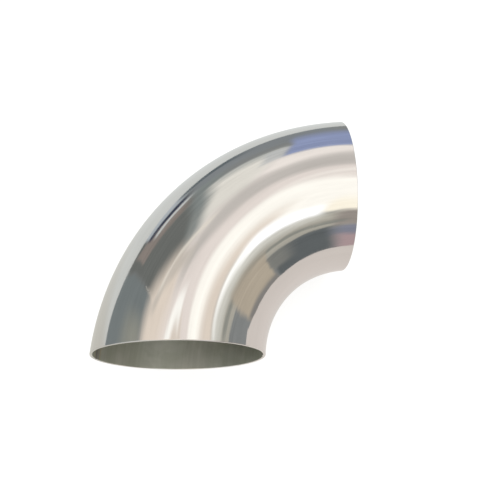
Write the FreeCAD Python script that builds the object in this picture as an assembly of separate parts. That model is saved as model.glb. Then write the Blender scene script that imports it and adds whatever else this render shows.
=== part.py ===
"""Thin-wall polished stainless 90-degree butt-weld pipe elbow, made from two pressed half shells.

The half shells meet on the bend plane, with one seam along the outside of the bend and one along
the inside. A weld bead fills each seam: flush with the outside diameter, and left as a low rounded
root in the bore. Both end faces are trimmed square.

Frame: millimetres. The bend lies in the XY plane, with +Z up. The origin is the centre of the inlet
end face, which opens along -Y. The outlet end face opens along +X.
"""

import FreeCAD
import Part

import math
import os

# ---- driving dimensions ----
OUTSIDE_DIAMETER = 101.6      # 4 in OD tube size
WALL = 1.5                    # sheet gauge of the pressed shells
BEND_RADIUS = 110.0           # centreline radius
CENTRE_TO_FACE = 106.0        # from the crossing of the two port axes to each end face
WELD_GAP = 0.5                # gap between the two shells, filled by the bead
ROOT_BEAD_WIDTH = 3.6         # width of the bead where it lies on the bore
ROOT_BEAD_HEIGHT = 0.55       # how far the bead stands into the bore

OUTER_RADIUS = OUTSIDE_DIAMETER / 2
INNER_RADIUS = OUTER_RADIUS - WALL

# The box that trims the ends stands clear of the tube by these amounts.
TRIM_CLEARANCE_RADIAL = 20.0
TRIM_CLEARANCE_Z = 10.0


# ---- end faces ----
def port_axis_offset(setback):
    """Distance from the bend axis to the middle of an end face, square to its port axis.

    The setback is how far the trim plane stands from the parallel plane through the bend axis.
    """
    far = math.sqrt((BEND_RADIUS + OUTER_RADIUS) ** 2 - setback ** 2)
    near = math.sqrt((BEND_RADIUS - OUTER_RADIUS) ** 2 - setback ** 2)
    return (far + near) / 2


# The setback and the port axis offset depend on each other, so the setback is found by iteration.
SETBACK = BEND_RADIUS - CENTRE_TO_FACE
for _ in range(20):
    SETBACK = port_axis_offset(SETBACK) - CENTRE_TO_FACE

# Pieces are built about the bend axis, then moved so the inlet face centre is the origin.
BEND_AXIS_POSITION = FreeCAD.Vector(port_axis_offset(SETBACK), -SETBACK, 0)


# ---- section of the tube ----
# Section angles are in radians: 0 is the outside of the bend, pi the inside, pi/2 the top.
def half_angle(width, radius):
    """Half the angle that a chord of this width spans on a circle of this radius."""
    return math.asin(width / 2 / radius)


GAP_ANGLE_OUTER = half_angle(WELD_GAP, OUTER_RADIUS)
GAP_ANGLE_INNER = half_angle(WELD_GAP, INNER_RADIUS)


def section_point(radius, angle):
    """A point of the section in the XZ plane, on the -X side of the bend axis."""
    x = -(BEND_RADIUS + radius * math.cos(angle))
    return FreeCAD.Vector(x, 0, radius * math.sin(angle))


def arc_edge(radius, start, end):
    """An arc about the tube's centre, between two section angles."""
    angles = (start, (start + end) / 2, end)
    return Part.Arc(*[section_point(radius, angle) for angle in angles]).toShape()


def line_edge(start, end):
    return Part.LineSegment(start, end).toShape()


def swept(edges):
    """Turns a closed section a quarter turn about the bend axis and trims both ends square."""
    face = Part.Face(Part.Wire(Part.__sortEdges__(edges)))
    bend = face.revolve(FreeCAD.Vector(0, 0, 0), FreeCAD.Vector(0, 0, 1), -90)
    reach = BEND_RADIUS + OUTER_RADIUS + TRIM_CLEARANCE_RADIAL
    half_height = OUTER_RADIUS + TRIM_CLEARANCE_Z
    keep = Part.makeBox(
        reach - SETBACK, reach - SETBACK, 2 * half_height,
        FreeCAD.Vector(-reach, SETBACK, -half_height),
    )
    piece = bend.common(keep).Solids[0]
    piece.translate(BEND_AXIS_POSITION)
    return piece


# ---- pieces ----
def half_shell(side):
    """The half above (side 1) or below (side -1) the bend plane, its seam edges half a gap away."""
    outer_start = side * GAP_ANGLE_OUTER
    outer_end = side * (math.pi - GAP_ANGLE_OUTER)
    inner_start = side * GAP_ANGLE_INNER
    inner_end = side * (math.pi - GAP_ANGLE_INNER)
    return swept([
        arc_edge(OUTER_RADIUS, outer_start, outer_end),
        line_edge(section_point(OUTER_RADIUS, outer_end), section_point(INNER_RADIUS, inner_end)),
        arc_edge(INNER_RADIUS, inner_end, inner_start),
        line_edge(section_point(INNER_RADIUS, inner_start),
                  section_point(OUTER_RADIUS, outer_start)),
    ])


def seam_weld(centre):
    """The bead in the gap at section angle `centre`, with its rounded root on the bore."""
    outer_start, outer_end = centre - GAP_ANGLE_OUTER, centre + GAP_ANGLE_OUTER
    inner_start, inner_end = centre - GAP_ANGLE_INNER, centre + GAP_ANGLE_INNER
    root_angle = half_angle(ROOT_BEAD_WIDTH, INNER_RADIUS)
    root_start, root_end = centre - root_angle, centre + root_angle
    root = Part.Arc(
        section_point(INNER_RADIUS, root_end),
        section_point(INNER_RADIUS - ROOT_BEAD_HEIGHT, centre),
        section_point(INNER_RADIUS, root_start),
    )
    return swept([
        arc_edge(OUTER_RADIUS, outer_start, outer_end),
        line_edge(section_point(OUTER_RADIUS, outer_end), section_point(INNER_RADIUS, inner_end)),
        arc_edge(INNER_RADIUS, inner_end, root_end),
        root.toShape(),
        arc_edge(INNER_RADIUS, root_start, inner_start),
        line_edge(section_point(INNER_RADIUS, inner_start),
                  section_point(OUTER_RADIUS, outer_start)),
    ])


PIECES = {
    "upper_half_shell": half_shell(1),
    "lower_half_shell": half_shell(-1),
    "extrados_seam_weld": seam_weld(0),
    "intrados_seam_weld": seam_weld(math.pi),
}

os.makedirs("parts", exist_ok=True)
for name, piece in PIECES.items():
    piece.exportStep("parts/" + name + ".step")
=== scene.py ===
"""Polished stainless pipe elbow, 90 degrees, pressed as two half shells and welded along two seams.

The elbow lies flat: the bend is in the XY plane, the inlet faces -Y at y = 0 and the outlet faces +X.
The seams are at z = 0, one outside the bend and one inside it. Lengths are in metres.

Points are given in bend coordinates: theta runs along the bend from the inlet (0) to the outlet
(90 degrees), phi runs round the tube from the outside of the bend (0) over the top (90) to its inside
(180), and rad is the distance from the tube's centreline.
"""

import math
from functools import cached_property

import bpy
import numpy as np
from mathutils import Matrix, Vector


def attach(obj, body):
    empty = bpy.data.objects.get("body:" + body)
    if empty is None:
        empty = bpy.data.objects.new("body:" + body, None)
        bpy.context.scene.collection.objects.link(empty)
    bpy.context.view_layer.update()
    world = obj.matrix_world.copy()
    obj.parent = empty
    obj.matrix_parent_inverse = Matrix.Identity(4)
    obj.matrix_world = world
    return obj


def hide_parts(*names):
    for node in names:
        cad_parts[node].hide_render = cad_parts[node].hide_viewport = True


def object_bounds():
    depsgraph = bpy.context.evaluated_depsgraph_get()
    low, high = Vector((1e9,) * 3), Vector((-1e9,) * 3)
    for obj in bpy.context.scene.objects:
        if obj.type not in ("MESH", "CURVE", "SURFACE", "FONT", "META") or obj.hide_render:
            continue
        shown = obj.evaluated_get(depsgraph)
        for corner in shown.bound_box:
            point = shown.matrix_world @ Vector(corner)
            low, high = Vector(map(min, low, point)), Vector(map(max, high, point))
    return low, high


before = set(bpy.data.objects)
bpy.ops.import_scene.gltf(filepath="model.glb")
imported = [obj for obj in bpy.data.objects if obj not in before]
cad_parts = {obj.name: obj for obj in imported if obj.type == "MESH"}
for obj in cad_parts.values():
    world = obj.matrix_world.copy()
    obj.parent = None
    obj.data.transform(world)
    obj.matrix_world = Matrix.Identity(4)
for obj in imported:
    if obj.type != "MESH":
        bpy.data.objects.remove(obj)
cad_lo, cad_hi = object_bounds()

# ---- dimensions of the CAD part ------------------------------------------------------------------
BEND = 0.110            # centreline radius of the bend
OUTER = 0.0508          # outside radius of the tube
WALL = 0.0015
INNER = OUTER - WALL
CENTRE_TO_FACE = 0.106  # from the tube's axis at one mouth to the plane of the other
GAP = 0.0005            # seam gap between the half shells
ROOT_WIDTH = 0.0036     # root bead in the bore
ROOT_HEIGHT = 0.00055
BREAK = 0.0003          # broken edge round both mouths


def mean_reach(setback):
    """Mean distance from the bend's axis to the tube's two sides, in a plane this far off the axis."""
    outside = math.sqrt((BEND + OUTER) ** 2 - setback ** 2)
    inside = math.sqrt((BEND - OUTER) ** 2 - setback ** 2)
    return (outside + inside) / 2


# Each end plane lies SETBACK past the bend's axis, so that the mouths are centred on the tube's axes.
SETBACK = BEND - CENTRE_TO_FACE
for _ in range(20):
    SETBACK = mean_reach(SETBACK) - CENTRE_TO_FACE
AXIS_X = mean_reach(SETBACK)
assert abs(cad_hi.x - CENTRE_TO_FACE) < 2e-4
assert abs(cad_hi.z - OUTER) < 2e-4 and abs(cad_lo.x + OUTER) < 2e-4

# ---- mesh density --------------------------------------------------------------------------------
ALONG_STEPS, ROUND_STEPS = 200, 150     # along and round each half shell
BREAK_STEPS = 4                         # round each broken edge
BEAD_STEPS = 20                         # across the root bead
UNDER_STEPS = 3                         # from the gap to each edge of the root bead

INLET, OUTLET = 0, 1
END_AXES = (np.array([0.0, -1.0, 0.0]), np.array([1.0, 0.0, 0.0]))
OUTSIDE, INSIDE, CUT_FACES = 0, 1, 2    # material slots of every piece

# ---- shape of the skin ---------------------------------------------------------------------------
# Hand buffing leaves the skin a few hundredths of a millimetre off round, which bends what it mirrors.
# Each entry: lobes round the tube, height in millimetres.
LOBES = ((2, 0.030), (3, 0.026), (4, 0.026), (5, 0.024), (6, 0.020),
         (7, 0.016), (9, 0.013), (11, 0.010), (14, 0.007), (17, 0.005))
rng = np.random.default_rng(11)
WAVES = []
for lobe_count, height_mm in LOBES:
    for _ in range(2):
        amplitude = height_mm * 1e-3 * rng.uniform(0.6, 1.0)
        twist = rng.uniform(-2.6, 2.6)
        WAVES.append((amplitude, twist, lobe_count, rng.uniform(0, 2 * math.pi)))


def wave(theta, phi):
    """How far the skin stands off a true round here."""
    total = np.zeros(np.broadcast(theta, phi).shape)
    for amplitude, twist, lobes, phase in WAVES:
        total += amplitude * np.cos(4 * twist * theta + lobes * phi + phase)
    return total


def place(theta, phi, rad):
    """Position of a point given in bend coordinates."""
    wavy = rad + wave(theta, phi)
    rho = BEND + wavy * np.cos(phi)
    return np.stack([AXIS_X - rho * np.cos(theta), rho * np.sin(theta) - SETBACK,
                     wavy * np.sin(phi)], -1)


def theta_at(end, inset, phi, rad):
    """Bend angle of the point that lies this far inside the plane of an end face."""
    theta = np.arcsin((SETBACK + inset) / (BEND + rad * np.cos(phi)))
    return theta if end == INLET else math.pi / 2 - theta


def theta_between(share, phi, rad):
    """Bend angle at this share of the way from the inlet's broken edge to the outlet's."""
    first, last = (theta_at(end, BREAK, phi, rad) for end in (INLET, OUTLET))
    return first + (last - first) * share


def gap_angle(rad):
    """Half the angle that the seam gap takes up at this radius."""
    return math.asin(GAP / 2 / rad)


def unit(vectors):
    return vectors / np.linalg.norm(vectors, axis=-1, keepdims=True)


def skin_normal(theta, phi, rad):
    """Outward normal of the wavy skin."""
    delta = 2e-4
    across = place(theta, phi + delta, rad) - place(theta, phi - delta, rad)
    along = place(theta + delta, phi, rad) - place(theta - delta, phi, rad)
    return unit(np.cross(across, along))


def flatten_end(points, end, inset):
    """Puts points exactly on the plane this far inside an end face, whatever the skin's waviness."""
    if end == INLET:
        points[..., 1] = inset
    else:
        points[..., 0] = CENTRE_TO_FACE - inset
    return points


# ---- mesh building -------------------------------------------------------------------------------
def build(name, verts, parts, materials):
    """A mesh object. Each part is (faces as rows of vertex indices, corner normals, material slot)."""
    faces, normals, slots = [], [], []
    for rows, corners, slot in parts:
        faces += rows.tolist()
        normals.append(np.asarray(corners, float).reshape(-1, 3))
        slots += [slot] * len(rows)
    mesh = bpy.data.meshes.new(name)
    mesh.from_pydata(verts.tolist(), [], faces)
    for material in materials:
        mesh.materials.append(material)
    mesh.polygons.foreach_set("material_index", np.array(slots, np.int32))
    mesh.polygons.foreach_set("use_smooth", np.ones(len(faces), bool))
    mesh.update()
    mesh.normals_split_custom_set(unit(np.concatenate(normals)).tolist())
    obj = bpy.data.objects.new(name, mesh)
    bpy.context.scene.collection.objects.link(obj)
    return obj


def facing(verts, quads, corners, slot):
    """A part of quads, wound to face the way their corner normals point: (faces, corners, xyz)."""
    pts = verts[quads]
    area = (np.cross(pts[:, 1] - pts[:, 0], pts[:, 2] - pts[:, 0])
            + np.cross(pts[:, 2] - pts[:, 0], pts[:, -1] - pts[:, 0]))
    wrong = (area * corners.mean(1)).sum(-1) < 0
    quads, corners = quads.copy(), corners.copy()
    quads[wrong] = quads[wrong][:, ::-1]
    corners[wrong] = corners[wrong][:, ::-1]
    return quads, corners, slot


def fill(verts, row, direction):
    """A part of one flat n-gon through these points, facing direction."""
    pts = verts[row]
    area = sum(np.cross(pts[i] - pts[0], pts[i + 1] - pts[0]) for i in range(1, len(row) - 1))
    row = np.array(row if np.dot(area, direction) > 0 else row[::-1])
    return row[None], np.tile(direction, (1, len(row), 1)), CUT_FACES


# ---- pieces --------------------------------------------------------------------------------------
def mouth_edge():
    """Lines of one mouth from outside to bore: inset, radius, normal's end-face and skin shares."""
    turns = [math.pi / 2 * k / BREAK_STEPS for k in range(BREAK_STEPS + 1)]
    outer = [(BREAK - BREAK * math.sin(a), OUTER - BREAK + BREAK * math.cos(a),
              math.sin(a), math.cos(a)) for a in turns[1:]]
    inner = [(BREAK - BREAK * math.cos(a), INNER + BREAK - BREAK * math.sin(a),
              math.cos(a), -math.sin(a)) for a in turns[:-1]]
    return outer + inner


def half_shell(name, side, materials):
    """One half as a closed skin: outside, outlet edge, bore, inlet edge and two long seam edges."""
    across = np.linspace(0, 1, ROUND_STEPS + 1)
    lines, normals = [], []       # one entry per line round the shell

    def phi_of(rad):
        gap = gap_angle(rad)
        return side * (gap + across * (math.pi - 2 * gap))

    def add_wall(shares, rad, sign):
        phi = phi_of(rad)
        for share in shares:
            theta = theta_between(share, phi, rad)
            lines.append(place(theta, phi, rad))
            normals.append(sign * skin_normal(theta, phi, rad))

    def add_mouth(end, stations):
        for inset, rad, face_on, outward in stations:
            phi = phi_of(rad)
            theta = theta_at(end, inset, phi, rad)
            lines.append(flatten_end(place(theta, phi, rad), end, inset))
            normals.append(unit(face_on * END_AXES[end] + outward * skin_normal(theta, phi, rad)))

    edge = mouth_edge()
    add_wall(np.linspace(0, 1, ALONG_STEPS + 1), OUTER, 1)
    add_mouth(OUTLET, edge)
    add_wall(np.linspace(1, 0, ALONG_STEPS + 1), INNER, -1)
    add_mouth(INLET, edge[::-1])

    points = np.stack(lines, 1)               # round, line, xyz
    line_count = points.shape[1]
    index = np.arange(points.shape[0] * line_count).reshape(-1, line_count)
    verts = points.reshape(-1, 3)
    vert_normals = np.stack(normals, 1).reshape(-1, 3)
    outer_end = ALONG_STEPS + BREAK_STEPS
    bore = ALONG_STEPS + 1 + len(edge)        # first line of the bore
    bore_end = bore + ALONG_STEPS
    inlet_break = line_count - BREAK_STEPS
    parts = []
    # the buff rounds and polishes the outer corners too
    for first, last, slot in ((0, outer_end, OUTSIDE), (outer_end, bore, CUT_FACES),
                              (bore, bore_end, INSIDE), (bore_end, inlet_break, CUT_FACES),
                              (inlet_break, line_count, OUTSIDE)):
        here = np.arange(first, last)
        after = (here + 1) % line_count
        quads = np.stack([index[:-1, here], index[1:, here], index[1:, after], index[:-1, after]],
                         -1).reshape(-1, 4)
        parts.append(facing(verts, quads, vert_normals[quads], slot))
    # seam edges: a strip between outside and bore, and a small n-gon at each mouth
    to_seam = np.array([0.0, 0.0, -float(side)])
    i = np.arange(ALONG_STEPS)
    for row in (index[0], index[-1]):
        quads = np.stack([row[i], row[i + 1], row[bore_end - i - 1], row[bore_end - i]], -1)
        parts.append(facing(verts, quads, np.tile(to_seam, (ALONG_STEPS, 4, 1)), CUT_FACES))
        for first, last in ((ALONG_STEPS, bore), (bore_end, line_count)):
            mouth = [row[k % line_count] for k in range(first, last + 1)]
            parts.append(fill(verts, mouth, to_seam))
    return build(name, verts, parts, materials)


def bead_radius(length, across):
    """Radius of the rippled root bead, this far along the seam and across it (1 to -1)."""
    swell = 0.90 + 0.06 * np.sin(length / 0.0041 + 1.3) + 0.04 * np.sin(length / 0.0107)
    rise = ROOT_HEIGHT * (1 - across ** 2) * swell
    pitch, lag, height = 0.0012, 0.0011, 0.000045     # ripples, and how far they curve back
    phase = 2 * math.pi * (length - lag * across ** 2) / pitch
    ripple = (0.5 + 0.5 * np.cos(phase)) ** 1.6
    return INNER - rise - height * ripple * (1 - across ** 4)


def weld_profile():
    """Section of a seam weld: kind of face that follows, radius, angle from the seam, place across."""
    outer_gap, inner_gap = gap_angle(OUTER), gap_angle(INNER)
    root = math.asin(ROOT_WIDTH / 2 / INNER)
    profile = [("top", OUTER, -outer_gap, 0), ("top", OUTER, 0.0, 0), ("side+", OUTER, outer_gap, 0)]
    unders = [(root - inner_gap) * k / UNDER_STEPS for k in range(UNDER_STEPS)]
    profile += [("under", INNER, inner_gap + under, 0) for under in unders]
    shares = [1 - 2 * k / BEAD_STEPS for k in range(BEAD_STEPS)]
    profile += [("bead", INNER, root * share, share) for share in shares]
    profile += [("under", INNER, -root + under, 0) for under in unders]
    return profile + [("side-", INNER, -inner_gap, 0)]


def seam_weld(name, centre, steps, materials):
    """One seam's weld, at phi = centre: a thin wall in the gap, flush outside, and its root bead."""
    profile = weld_profile()
    mean_rho = BEND + INNER * math.cos(centre)
    turns = np.array([math.pi / 2 * k / BREAK_STEPS for k in range(BREAK_STEPS, 0, -1)])
    shares = np.linspace(0, 1, steps + 1)
    turn = np.concatenate([turns, 0 * shares, turns[::-1]])     # round the broken edges
    inset = BREAK - BREAK * np.sin(turn)
    total = len(turn)
    half = total // 2
    points, top_normals = np.zeros((total, len(profile), 3)), np.zeros((total, len(profile), 3))
    for p, (kind, rad, angle, across) in enumerate(profile):
        phi = centre + angle
        theta = np.where(np.arange(total) < half, theta_at(INLET, inset, phi, rad),
                         theta_at(OUTLET, inset, phi, rad))
        theta[BREAK_STEPS:BREAK_STEPS + steps + 1] = theta_between(shares, phi, rad)
        if kind == "bead":
            radius = bead_radius(theta * mean_rho, across)
        elif rad == OUTER:
            radius = OUTER - BREAK + BREAK * np.cos(turn)
        else:
            radius = rad
        points[:, p] = place(theta, phi, radius)
        top_normals[:, p] = skin_normal(theta, phi, OUTER) * np.cos(turn)[:, None]
    for end, part in ((INLET, slice(0, BREAK_STEPS)), (OUTLET, slice(total - BREAK_STEPS, total))):
        points[part] = flatten_end(points[part], end, inset[part][:, None])
        top_normals[part] += END_AXES[end] * np.sin(turn[part])[:, None, None]
    top_normals = unit(top_normals)

    theta = np.linspace(0, math.pi / 2, total)
    sign = 1.0 if math.cos(centre) > 0 else -1.0
    # from the bore's wall to its centreline
    inward = np.stack([sign * np.cos(theta), -sign * np.sin(theta), 0 * theta], -1)
    bead = [p for p in range(len(profile)) if profile[p][0] == "bead"]
    bead.append(bead[-1] + 1)
    crosses = np.cross(np.gradient(points[:, bead], axis=1), np.gradient(points[:, bead], axis=0))
    crosses *= np.sign((crosses[half, len(bead) // 2] * inward[half]).sum())
    bead_normals = np.zeros_like(points)
    bead_normals[:, bead] = unit(crosses)

    index = np.arange(total * len(profile)).reshape(total, len(profile))
    verts = points.reshape(-1, 3)
    upward = np.array([0.0, 0.0, sign])
    parts = []
    for p, (kind, *_) in enumerate(profile):
        after = (p + 1) % len(profile)
        quads = np.stack([index[:-1, p], index[:-1, after], index[1:, after], index[1:, p]], -1)
        slot = CUT_FACES
        if kind == "top":
            corners, slot = top_normals.reshape(-1, 3)[quads], OUTSIDE
        elif kind == "bead":
            corners, slot = bead_normals.reshape(-1, 3)[quads], INSIDE
        elif kind == "under":
            corners = np.repeat(-inward[:-1, None], 4, axis=1)
        else:
            corners = np.tile(upward if kind == "side+" else -upward, (len(quads), 4, 1))
        parts.append(facing(verts, quads, corners, slot))
    for end, i in ((INLET, 0), (OUTLET, -1)):
        parts.append(fill(verts, list(index[i]), END_AXES[end]))
    return build(name, verts, parts, materials)


# ---- shader nodes --------------------------------------------------------------------------------
class Net:
    """Short names for building the node tree of a material or world."""

    def __init__(self, owner):
        owner.use_nodes = True
        self.owner = owner
        self.tree = owner.node_tree
        self.tree.nodes.clear()

    def add(self, kind, inputs=None, **settings):
        """A node, with values or sockets for its inputs by name or number."""
        node = self.tree.nodes.new(kind)
        for key, value in settings.items():
            setattr(node, key, value)
        for key, value in (inputs or {}).items():
            self.put(node.inputs[key], value)
        return node

    def put(self, socket, value):
        if isinstance(value, bpy.types.NodeSocket):
            self.tree.links.new(value, socket)
            return
        if hasattr(socket.default_value, "__len__"):
            if len(socket.default_value) == 4 and len(value) == 3:
                value = (*value, 1.0)
        socket.default_value = value

    def math(self, operation, *operands):
        inputs = dict(enumerate(operands))
        return self.add("ShaderNodeMath", inputs, operation=operation).outputs[0]

    def plus(self, first, second):
        return self.math("ADD", first, second)

    def minus(self, first, second):
        return self.math("SUBTRACT", first, second)

    def times(self, first, second):
        return self.math("MULTIPLY", first, second)

    def times_plus(self, value, factor, extra):
        return self.math("MULTIPLY_ADD", value, factor, extra)

    def vary(self, noise, by, around):
        """Lets noise, which is centred on 0.5, move a value."""
        return self.times_plus(self.minus(noise, 0.5), by, around)

    def hypot(self, first, second):
        return self.math("SQRT", self.plus(self.times(first, first), self.times(second, second)))

    def vector_math(self, operation, vector, other):
        inputs = {0: vector, 1: other}
        return self.add("ShaderNodeVectorMath", inputs, operation=operation).outputs[0]

    def xyz(self, x, y, z):
        return self.add("ShaderNodeCombineXYZ", {0: x, 1: y, 2: z}).outputs[0]

    def split(self, vector):
        return self.add("ShaderNodeSeparateXYZ", {0: vector}).outputs

    def noise(self, vector, detail, roughness, distortion=0.0, scale=1.0, per_metre=None):
        """Noise; per_metre is its frequency along each axis."""
        if per_metre:
            vector = self.vector_math("MULTIPLY", vector, per_metre)
        inputs = {"Vector": vector, "Scale": scale, "Detail": detail,
                  "Roughness": roughness, "Distortion": distortion}
        return self.add("ShaderNodeTexNoise", inputs).outputs["Fac"]

    def ramp(self, value, low, high, to=(0.0, 1.0)):
        """Smooth step between the two values of to, as value goes from low to high."""
        inputs = {0: value, 1: low, 2: high, 3: to[0], 4: to[1]}
        return self.add("ShaderNodeMapRange", inputs, interpolation_type="SMOOTHSTEP").outputs[0]

    def band(self, value, rise, fall):
        return self.minus(self.ramp(value, *rise), self.ramp(value, *fall))

    def mix(self, factor, first, second):
        inputs = {0: factor, 6: first, 7: second}
        return self.add("ShaderNodeMix", inputs, data_type="RGBA").outputs[2]

    def tinted(self, base, mask, amount, colour):
        return self.mix(self.times(mask, amount), base, colour)

    def bump(self, height, strength, distance):
        inputs = {"Height": height, "Strength": strength, "Distance": distance}
        return self.add("ShaderNodeBump", inputs).outputs["Normal"]

    def shader(self, kind, inputs):
        return self.add(kind, inputs).outputs[0]

    def finish(self, shader, kind="Material"):
        """Links the shader to the tree's output and returns what owns the tree."""
        self.add("ShaderNodeOutput" + kind, {"Surface": shader})
        return self.owner


class BendNet(Net):
    """A metal's node tree with the bend coordinates as sockets, each made when first used."""

    def __init__(self, name):
        super().__init__(bpy.data.materials.new(name))

    @cached_property
    def object(self):
        return self.add("ShaderNodeTexCoord").outputs["Object"]

    @cached_property
    def object_xyz(self):
        return self.split(self.object)

    @cached_property
    def plan(self):
        """Place in plan, from the bend's axis: towards -X and towards +Y."""
        x, y, _ = self.object_xyz
        return self.minus(AXIS_X, x), self.plus(y, SETBACK)

    @cached_property
    def theta(self):
        return self.math("ARCTAN2", self.plan[1], self.plan[0])

    @cached_property
    def section(self):
        """Place in the tube's section, from its centreline: away from the bend's axis, and up."""
        return self.minus(self.hypot(*self.plan), BEND), self.object_xyz[2]

    @cached_property
    def phi(self):
        return self.math("ARCTAN2", self.section[1], self.section[0])

    @cached_property
    def cos_phi(self):
        return self.math("COSINE", self.phi)

    @cached_property
    def sin_phi(self):
        return self.math("SINE", self.phi)

    @cached_property
    def point(self):
        """Metres along the bend, then the section's own two axes: continuous all the way round."""
        return self.xyz(self.times(self.theta, BEND), self.times(self.cos_phi, OUTER),
                        self.times(self.sin_phi, OUTER))

    @cached_property
    def seam_height(self):
        """Height above or below the plane of the seams."""
        return self.math("ABSOLUTE", self.object_xyz[2])

    def round_direction(self):
        x = self.times(self.sin_phi, self.math("COSINE", self.theta))
        y = self.times(self.sin_phi, self.math("SINE", self.theta))
        return self.xyz(x, self.times(y, -1.0), self.cos_phi)

    def metal(self, base, roughness, normal, anisotropic=None):
        inputs = {"Base Color": base, "Metallic": 1.0, "Roughness": roughness, "Normal": normal}
        if anisotropic:
            inputs |= {"Anisotropic": anisotropic, "Tangent": self.round_direction()}
        return self.finish(self.shader("ShaderNodeBsdfPrincipled", inputs))


# ---- materials -----------------------------------------------------------------------------------
STEEL = (0.72, 0.70, 0.675)     # a little warm

# one short curved scratch, about 4 mm long, on the outside
SCRATCH_THETA, SCRATCH_PHI = math.radians(14.3), math.radians(73.8)
SCRATCH_CENTRE = (0.00236, 0.00240)     # of its arc, along and round from that place
SCRATCH_RADIUS = 0.00373
SCRATCH_HALF_WIDTH = (0.00008, 0.00022)     # full depth, and where it ends
SCRATCH_START, SCRATCH_END = (-2.98, -2.78), (-2.0, -1.75)      # angles over which it fades


def scratch(net):
    """Mask of the scratch."""
    along = net.times(net.minus(net.theta, SCRATCH_THETA), BEND + OUTER * math.cos(SCRATCH_PHI))
    across = net.times(net.minus(net.phi, SCRATCH_PHI), OUTER)
    along = net.minus(along, SCRATCH_CENTRE[0])
    across = net.minus(across, SCRATCH_CENTRE[1])
    off = net.math("ABSOLUTE", net.minus(net.hypot(along, across), SCRATCH_RADIUS))
    turn = net.math("ARCTAN2", across, along)
    run = net.times(net.ramp(turn, *SCRATCH_START), net.ramp(turn, *SCRATCH_END, to=(1.0, 0.0)))
    return net.times(net.ramp(off, *SCRATCH_HALF_WIDTH, to=(1.0, 0.0)), run)


def polished_steel():
    """Buffed outside: nearly a mirror, with fine lengthwise lines, faint haze and a scratch."""
    net = BendNet("polished_stainless")
    lines = net.noise(net.point, per_metre=(14.0, 900.0, 900.0), detail=3.0, roughness=0.6)
    broad = net.noise(net.point, per_metre=(9.0, 150.0, 150.0), detail=2.0, roughness=0.5)
    haze = net.noise(net.point, per_metre=(26.0, 30.0, 30.0), detail=3.0, roughness=0.55)
    smudge = net.noise(net.object, per_metre=(34.0,) * 3, detail=4.0, roughness=0.6, distortion=0.6)
    # slight cloudiness
    tone = net.vary(haze, by=0.07, around=net.vary(lines, by=0.06, around=1.0))
    base = net.add("ShaderNodeVectorMath", {0: STEEL, "Scale": tone}, operation="SCALE").outputs[0]
    # roughness: buffing lines, patches where the buff has hazed it, and the scratch
    rough = net.times_plus(net.ramp(lines, 0.35, 0.75), factor=0.04, extra=0.038)
    rough = net.plus(rough, net.times(net.ramp(smudge, 0.45, 0.8), 0.04))
    rough = net.plus(rough, net.times(net.ramp(broad, 0.5, 0.85), 0.03))
    mark = scratch(net)
    rough = net.times_plus(mark, factor=0.40, extra=rough)
    # relief: fine lines, and lapped streaks that come and go
    streak = net.noise(net.point, per_metre=(7.0, 330.0, 330.0), detail=2.0, roughness=0.5)
    come = net.noise(net.point, per_metre=(16.0, 40.0, 40.0), detail=2.0, roughness=0.5)
    height = net.times(streak, net.ramp(come, 0.38, 0.62, to=(0.25, 1.0)))
    for layer, depth in ((broad, 0.6), (lines, 0.15), (mark, -0.8)):
        height = net.times_plus(layer, depth, height)
    return net.metal(base, rough, net.bump(height, strength=1.0, distance=0.00002), anisotropic=0.55)


def bore_steel():
    """Pickled bore: satin grey-green with drawn lines, and tinted beside the root bead."""
    net = BendNet("satin_bore")
    lines = net.noise(net.point, per_metre=(10.0, 420.0, 420.0), detail=3.0, roughness=0.6)
    patch = net.noise(net.point, per_metre=(22.0, 60.0, 60.0), detail=3.0, roughness=0.6,
                      distortion=0.4)
    grain = net.noise(net.object, per_metre=(1500.0,) * 3, detail=1.0, roughness=0.5)
    cloud = net.noise(net.object, per_metre=(55.0,) * 3, detail=3.0, roughness=0.6, distortion=0.5)
    base = net.mix(net.ramp(patch, 0.3, 0.7), (0.50, 0.51, 0.455), (0.59, 0.59, 0.535))
    base = net.tinted(base, net.ramp(cloud, 0.42, 0.62), amount=0.55, colour=(0.45, 0.47, 0.395))
    base = net.tinted(base, net.ramp(lines, 0.35, 0.7), amount=0.25, colour=(0.72, 0.72, 0.67))
    seam = net.plus(net.seam_height, net.times(net.minus(patch, 0.5), 0.003))
    straw = net.band(seam, rise=(0.0022, 0.0034), fall=(0.0040, 0.0066))
    blue = net.band(seam, rise=(0.0012, 0.0020), fall=(0.0022, 0.0036))
    base = net.tinted(base, straw, amount=0.38, colour=(0.50, 0.40, 0.24))
    base = net.tinted(base, blue, amount=0.45, colour=(0.22, 0.26, 0.36))
    rough = net.times_plus(net.ramp(lines, 0.3, 0.7), factor=0.08,
                           extra=net.times_plus(patch, factor=0.14, extra=0.42))
    height = net.times_plus(lines, factor=0.6, extra=net.times(grain, 0.35))
    return net.metal(base, rough, net.bump(height, strength=0.4, distance=0.00003), anisotropic=0.3)


def cut_steel():
    """The square-cut end faces and seam edges: satin, with fine marks running round the ring."""
    net = BendNet("satin_cut_edge")
    ring = net.xyz(net.times(net.hypot(*net.section), 9000.0), net.times(net.cos_phi, 3.0),
                   net.times(net.section[1], 60.0))
    marks = net.noise(ring, detail=2.0, roughness=0.5)
    stain = net.noise(net.object, per_metre=(160.0,) * 3, detail=3.0, roughness=0.6)
    base = net.mix(net.ramp(stain, 0.3, 0.75), (0.84, 0.82, 0.78), (0.74, 0.73, 0.70))
    rough = net.times_plus(marks, factor=0.16, extra=0.28)
    return net.metal(base, rough, net.bump(marks, strength=0.5, distance=0.00001))


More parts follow.
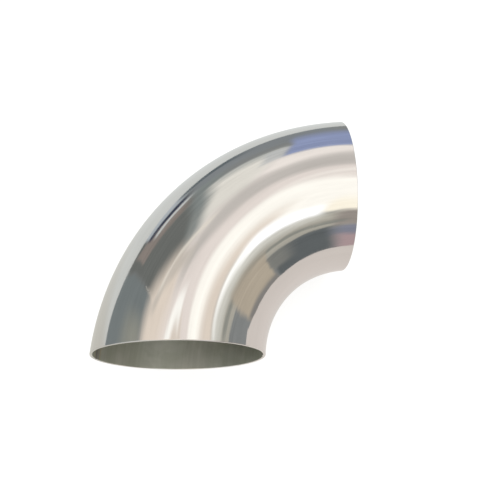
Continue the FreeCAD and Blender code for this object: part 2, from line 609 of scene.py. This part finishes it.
def root_bead():
    """As-welded root: darker at the bead's edges, with an oxide tint that varies along it."""
    net = BendNet("weld_root")
    mottled = net.noise(net.object, per_metre=(900.0,) * 3, detail=3.0, roughness=0.6)
    tint = net.noise(net.point, per_metre=(70.0, 500.0, 500.0), detail=2.0, roughness=0.5)
    base = net.mix(net.ramp(tint, 0.3, 0.7), (0.55, 0.53, 0.49), (0.47, 0.42, 0.34))
    edges = net.ramp(net.seam_height, 0.0008, 0.0018)
    base = net.tinted(base, edges, amount=0.6, colour=(0.26, 0.27, 0.32))
    rough = net.times_plus(mottled, factor=0.22, extra=0.24)
    return net.metal(base, rough, net.bump(mottled, strength=0.35, distance=0.00003))


POLISHED, BORE, CUT, ROOT = polished_steel(), bore_steel(), cut_steel(), root_bead()


def hand_over(piece, part):
    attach(piece, "root")
    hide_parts(part)


for part, side in (("upper_half_shell", 1), ("lower_half_shell", -1)):
    hand_over(half_shell(part + "_skin", side, [POLISHED, BORE, CUT]), part)
for part, centre, steps in (("extrados_seam_weld", 0.0, 1200), ("intrados_seam_weld", math.pi, 480)):
    hand_over(seam_weld(part + "_bead", centre, steps, [POLISHED, ROOT, CUT]), part)

# ---- studio --------------------------------------------------------------------------------------
# A polished tube mostly shows the room, so the studio is a list of plain cards round it, later ones
# over earlier ones. Columns: name; azimuth from, to; elevation from, to (degrees, azimuth 0 is +X and
# 90 is +Y, None is no edge); softness of those four edges; slope of the lower and upper edge;
# red, green, blue as the steel shows them (0 to 255); brightness; opacity.
CARDS = [
    # the whole room
    ("wall", None, None, None, None, 0, 0, 0, 0, 0, 0, 127, 129, 128, 1, 1.0),
    ("ceiling", None, None, 50, None, 0, 0, 16, 0, 0, 0, 225, 215, 208, 1, 1.0),
    ("zenith", None, None, 77, None, 0, 0, 2, 0, 0, 0, 212, 200, 187, 1, 0.9),
    # windows
    ("left_window", -175, -110, 8, 46, 14, 14, 10, 10, 0, 0, 214, 216, 214, 1, 1.0),
    ("far_window", 25, 55, 6, 38, 6, 6, 8, 8, 0, 0, 206, 208, 206, 1, 0.9),
    ("cream_window", -122, -84, 20, 60, 12, 6, 10, 8, 0, 0, 255, 244, 222, 1.1, 1.0),
    # beyond the outside of the bend
    ("tan_ceiling", 118, 200, 38, 70, 16, 8, 7, 14, 0, 0, 221, 208, 194, 1, 1.0),
    ("slate_wall", 148, 200, -30, 47, 2, 6, 1, 14, 0, 0, 115, 121, 121, 1, 1.0),
    ("slate_glow", 158, 200, 22, 44, 10, 6, 24, 8, 0, 0, 142, 142, 132, 1, 0.9),
    ("dark_bay", 118, 148, -30, 51, 8, 3, 1, 16, 0, -0.40, 104, 106, 103, 1, 1.0),
    ("bay_edge", 110, 121, 6, 57, 6, 8, 6, 9, 0, -0.20, 127, 133, 131, 1, 0.9),
    ("brown_bay", 122, 144, 3, 19, 8, 2, 5, 4, -0.20, -0.20, 140, 129, 122, 1, 0.8),
    ("dark_rail", 121, 138, 2.5, 7, 5, 2, 1, 1, -0.10, -0.10, 48, 56, 74, 1, 0.95),
    ("lamp_line", 120, 136, 8, 11.5, 6, 3, 1, 2, 0, 0, 196, 199, 197, 1, 0.95),
    ("low_line", 121, 138, -6, 2, 8, 2, 1, 2, 0.10, 0, 174, 180, 185, 1, 0.9),
    ("light_door", 91, 113.5, 20.5, 57, 6, 8, 5, 16, -0.10, -0.25, 221, 217, 208, 1, 1.0),
    ("door_foot", 92, 112, 19, 26, 3, 5, 5, 10, 0, -0.20, 176, 177, 172, 1, 0.9),
    ("low_wall", 80, 120, -14, 10, 6, 8, 1, 8, 0, 0, 124, 128, 130, 1, 1.0),
    ("skirting_line", 104, 124, -12, -1, 12, 4, 1, 2, 0, 0, 86, 94, 98, 1, 0.9),
    ("door_edge", 90, 97, 21, 38, 3, 4, 3, 3, 0, 0, 182, 183, 182, 1, 0.9),
    ("blue_panel", 60, 90, 6, 37, 8, 3, 20, 4, 0, 0, 137, 147, 179, 1, 1.0),
    ("cream_lintel", 60, 93, 37, 55, 8, 8, 4, 9, 0, -0.20, 233, 225, 218, 1, 1.0),
    ("grey_cornice", 40, 115, 51, 68, 18, 22, 14, 7, 0.30, 0.10, 189, 183, 177, 1, 1.0),
    ("cornice_end", 104, 150, 57, 62, 12, 8, 3, 4, -0.30, -0.30, 192, 184, 174, 1, 0.8),
    ("picture_rail", 100, 142, 55.5, 57.5, 8, 8, 2, 2, -0.13, -0.13, 220, 213, 201, 1, 0.9),
    ("cove_light", 72, 156, 74.3, 77.3, 14, 8, 2.5, 2, -0.03, -0.02, 252, 250, 243, 1, 0.95),
    # beyond the inside of the bend
    ("inner_ceiling", -90, 39, 47, 75.8, 14, 12, 9, 4, 0.20, -0.10, 255, 251, 242, 1, 1.0),
    ("beige_soffit", -20, 24, 44, 57, 16, 10, 10, 16, -0.30, -0.10, 221, 208, 194, 1, 1.0),
    ("cream_reveal", -76, -47, 40, 56, 6, 10, 4, 16, 0, 0, 255, 247, 228, 1, 1.0),
    ("grey_shelf", -76, 14, 17, 39, 6, 4, 3, 8, 0.05, 0, 168, 164, 153, 1, 1.0),
    ("shelf_shade", -80, -57, 18, 40, 6, 8, 4, 8, 0, 0, 146, 138, 131, 1, 0.9),
    ("lit_shelf", -50, 14, 32, 41, 12, 4, 9, 4, -0.05, 0.05, 208, 206, 197, 1, 0.9),
    ("shelf_line", -64, 10, 24, 28, 8, 8, 2, 3, 0, 0.02, 130, 131, 124, 1, 0.85),
    ("inner_slate", -58, -23, -30, 18.5, 14, 3, 1, 3, 0, -0.10, 93, 97, 98, 1, 1.0),
    ("slate_near", -33, -20, -4, 17, 12, 3, 8, 3, 0, 0, 124, 124, 119, 1, 0.9),
    ("khaki_column", -21, -1, -30, 28, 2, 3, 1, 12, 0, 0.20, 173, 162, 145, 1, 1.0),
    ("column_foot", -22, -1, -30, -8, 2, 3, 1, 9, 0, 0.10, 128, 125, 121, 1, 1.0),
    ("pink_patch", -80, -59, -30, 7, 6, 12, 1, 8, 0, 0, 166, 145, 146, 1, 1.0),
    ("violet_patch", -80, -58, 5, 18, 6, 16, 8, 3, 0, 0, 126, 128, 142, 1, 0.9),
    ("strip_light", -47, -9, 39.5, 49, 8, 10, 5, 9, 0.05, 0.05, 255, 255, 255, 1.25, 1.0),
    ("strip_end", -14, 14, 40, 45, 10, 8, 8, 5, 0, -0.35, 252, 251, 246, 1.1, 1.0),
]


def shown(red, green, blue, gain=1.0):
    """Brightness of a card that reads as this sRGB colour (0 to 255) when the steel mirrors it."""
    out = []
    for level, reflectance in zip((red, green, blue), STEEL):
        srgb = level / 255
        linear = srgb / 12.92 if srgb <= 0.04045 else ((srgb + 0.055) / 1.055) ** 2.4
        out.append(gain * linear / reflectance)
    return tuple(out)


def card_mask(net, azimuth, elevation, limits, softness, slopes, opacity):
    """Where a card covers the room."""
    mask = opacity
    rise, fall = (0.0, 1.0), (1.0, 0.0)
    edges = zip((azimuth, azimuth, elevation, elevation), limits, softness, (0, 0, *slopes),
                (rise, fall, rise, fall))
    for value, limit, soft, slope, to in edges:
        if limit is None:
            continue
        if slope:
            middle = (limits[0] + limits[1]) / 2
            value = net.minus(value, net.times(net.minus(azimuth, middle), slope))
        mask = net.times(net.ramp(value, limit - soft / 2, limit + soft / 2, to), mask)
    return mask


def studio_world():
    net = Net(bpy.data.worlds.new("soft_studio"))
    direction = net.add("ShaderNodeTexCoord").outputs["Generated"]
    x, y, z = net.split(direction)
    # a slight wander keeps the cards' edges from being ruler straight
    wander = net.noise(direction, scale=4.0, detail=3.0, roughness=0.5)
    moved = net.vector_math("ADD", direction, (7.0, 3.0, 5.0))
    sway = net.noise(moved, scale=5.0, detail=3.0, roughness=0.5)
    azimuth = net.math("DEGREES", net.math("ARCTAN2", y, x))
    elevation = net.math("DEGREES", net.math("ARCSINE", z))
    patches = net.xyz(net.times(azimuth, 0.05), net.times(elevation, 0.09), 0.0)
    patchy = net.noise(patches, detail=3.0, roughness=0.55)
    streaks = net.xyz(net.times(azimuth, 0.03), net.times(elevation, 0.5), 2.0)
    streaky = net.noise(streaks, detail=3.0, roughness=0.6)
    azimuth = net.vary(wander, by=4.0, around=azimuth)
    elevation = net.vary(sway, by=3.0, around=elevation)
    colour = (0.3, 0.3, 0.3)
    for card in CARDS:
        mask = card_mask(net, azimuth, elevation, card[1:5], card[5:9], card[9:11], card[15])
        colour = net.mix(mask, colour, shown(*card[11:15]))
    # streaks are strongest round 24 degrees up, short of azimuth 142
    off = net.math("ABSOLUTE", net.minus(elevation, 24.0))
    streaking = net.times_plus(net.ramp(off, 6.0, 22.0, to=(0.6, 0.0)),
                               factor=net.ramp(azimuth, 142.0, 150.0, to=(1.0, 0.1)), extra=0.14)
    uneven = net.vary(patchy, by=0.18, around=net.vary(streaky, by=streaking, around=1.0))
    room = net.shader("ShaderNodeBackground", {"Color": colour, "Strength": uneven})
    white = net.shader("ShaderNodeBackground", {"Color": (0.985, 0.985, 0.98)})
    to_camera = net.add("ShaderNodeLightPath").outputs["Is Camera Ray"]
    both = net.shader("ShaderNodeMixShader", {0: to_camera, 1: room, 2: white})
    bpy.context.scene.world = net.finish(both, "World")


def flat(name, outline, z, material):
    mesh = bpy.data.meshes.new(name)
    mesh.from_pydata([(x, y, z) for x, y in outline], [], [list(range(len(outline)))])
    mesh.update()
    mesh.materials.append(material)
    obj = bpy.data.objects.new(name, mesh)
    bpy.context.scene.collection.objects.link(obj)
    return obj


def pale_floor():
    """Mostly glowing, so that shadows on it are faint."""
    net = Net(bpy.data.materials.new("pale_floor"))
    glow = net.shader("ShaderNodeEmission", {"Color": (1.0, 0.998, 0.994), "Strength": 0.84})
    matt = net.shader("ShaderNodeBsdfDiffuse", {"Color": (0.22, 0.22, 0.218)})
    return net.finish(net.shader("ShaderNodeAddShader", {0: glow, 1: matt}))


def pale_sheet():
    """Warmer towards +X, and cooler from near y = 0 towards +Y."""
    net = Net(bpy.data.materials.new("pale_sheet"))
    position = net.add("ShaderNodeTexCoord").outputs["Object"]
    x, y, _ = net.split(position)
    warm = net.ramp(net.minus(x, net.times(y, 0.6)), -0.02, 0.10)
    cloud = net.noise(position, scale=14.0, detail=4.0, roughness=0.6)
    cool = net.mix(net.ramp(y, 0.03, 0.20), shown(191, 188, 179, gain=0.93),
                   shown(202, 203, 199, gain=0.93))
    colour = net.mix(warm, cool, shown(206, 197, 190, gain=0.95))
    strength = net.vary(cloud, by=0.10, around=1.0)
    return net.finish(net.shader("ShaderNodeEmission", {"Color": colour, "Strength": strength}))


FLOOR_Z = -OUTER - 0.0001
FLOOR_RADIUS, FLOOR_SIDES = 6, 64
# x, y round the pale sheet under the elbow
SHEET = [
    (0.207, -0.169), (0.235, -0.143), (0.260, -0.113), (0.281, -0.080), (0.292, -0.046),
    (0.312, -0.003), (0.50, 0.036), (0.52, 0.42), (0.175, 0.616), (0.082, 0.665),
    (-0.099, 0.748), (-0.329, 0.868), (-0.627, 1.009), (-1.343, 1.241), (-1.438, 0.863),
    (-0.832, 0.295), (-0.80, -0.40), (-0.30, -0.62), (0.10, -0.50)]

studio_world()

# the camera sees the floor, and the steel mirrors the sheet instead
circle = [(FLOOR_RADIUS * math.cos(a), FLOOR_RADIUS * math.sin(a))
          for a in np.linspace(0, 2 * math.pi, FLOOR_SIDES, endpoint=False)]
floor = flat("floor", circle, FLOOR_Z, pale_floor())
floor.visible_glossy = False
sheet = flat("sheet", SHEET, FLOOR_Z - 0.0002, pale_sheet())
sheet.visible_camera = False
sheet.visible_shadow = False

lamp = bpy.data.lights.new("softbox", "AREA")
lamp.shape = "RECTANGLE"
lamp.size = lamp.size_y = 0.9
lamp.energy = 6.0
softbox = bpy.data.objects.new("softbox", lamp)
softbox.location = (0.1, 0.25, 0.9)
softbox.visible_glossy = False
bpy.context.scene.collection.objects.link(softbox)

# ---- camera: above the elbow, looking down and towards +Y ----------------------------------------
cam = bpy.data.cameras.new("camera")
cam.sensor_width, cam.lens = 36.0, 31.6139
cam.clip_start, cam.clip_end = 0.01, 50.0
camera = bpy.data.objects.new("camera", cam)
camera.matrix_world = Matrix((
    (0.9996386, 0.0257101, 0.0078502, 0.03937080),
    (-0.0200453, 0.9074968, -0.4195805, -0.04229791),
    (-0.0179114, 0.4192715, 0.9076842, 0.25475534),
    (0, 0, 0, 1),
))
bpy.context.scene.collection.objects.link(camera)
bpy.context.scene.camera = camera
bpy.context.scene.view_settings.view_transform = "Standard"
